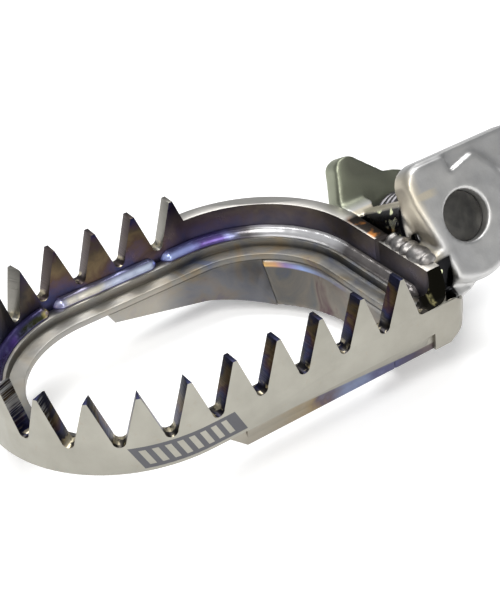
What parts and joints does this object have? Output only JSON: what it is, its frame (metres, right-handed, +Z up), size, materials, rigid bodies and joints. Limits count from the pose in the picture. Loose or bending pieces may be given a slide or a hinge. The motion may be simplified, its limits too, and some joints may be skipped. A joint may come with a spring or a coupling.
{
  "type": "motorcycle foot peg",
  "caption": "Folding off-road motorcycle foot peg: a toothed, open oval platform welded to a two-ear hinge hub, with its pivot pin and return spring.",
  "frame": {"origin": "middle of the pivot axis, half way between the two ears of the hub", "axes": "+X inboard to the motorcycle (the platform reaches out along -X), +Y to the rear, +Z up; the pivot axis leans 30 degrees from +Y, front end high"},
  "size_m": [0.112, 0.057, 0.0364],
  "materials": {
    "cleat_steel": "brushed, heat-tinted cut faces",
    "frame_steel": "satin, heat-tinted by welding",
    "weld": "rippled weld bead, blue, purple and gold tint",
    "cast_steel": "satin casting",
    "pin_steel": "black oxide",
    "washer_steel": "zinc",
    "spring_steel": "oiled wire"
  },
  "bodies": {
    "pin": {"pivot_pin": "pin_steel", "head_washer": "washer_steel", "thrust_washer": "washer_steel", "retaining_clip": "pin_steel", "return_spring": "spring_steel"},
    "peg": {"cleat_band": "cleat_steel", "band_seam_weld": "weld", "inner_ring": "frame_steel", "front_arm": "frame_steel", "rear_arm": "frame_steel", "hub_casting": "cast_steel", "ring_weld_rear": "weld", "ring_weld_end": "weld", "ring_weld_front": "weld", "ring_weld_hinge": "weld", "hub_weld": "weld", "hub_rear_weld": "weld", "hub_front_weld": "weld", "front_arm_weld": "weld", "rear_arm_weld": "weld"}
  },
  "joints": [
    {"name": "fold", "type": "hinge", "parent": "pin", "child": "peg", "pos_m": [0, 0, 0], "axis": [0, 0.866, -0.5], "range_deg": [0, 85], "stiffness_Nm_per_rad": 0.6, "springref_deg": -28.65, "deforming": ["return_spring"]}
  ]
}
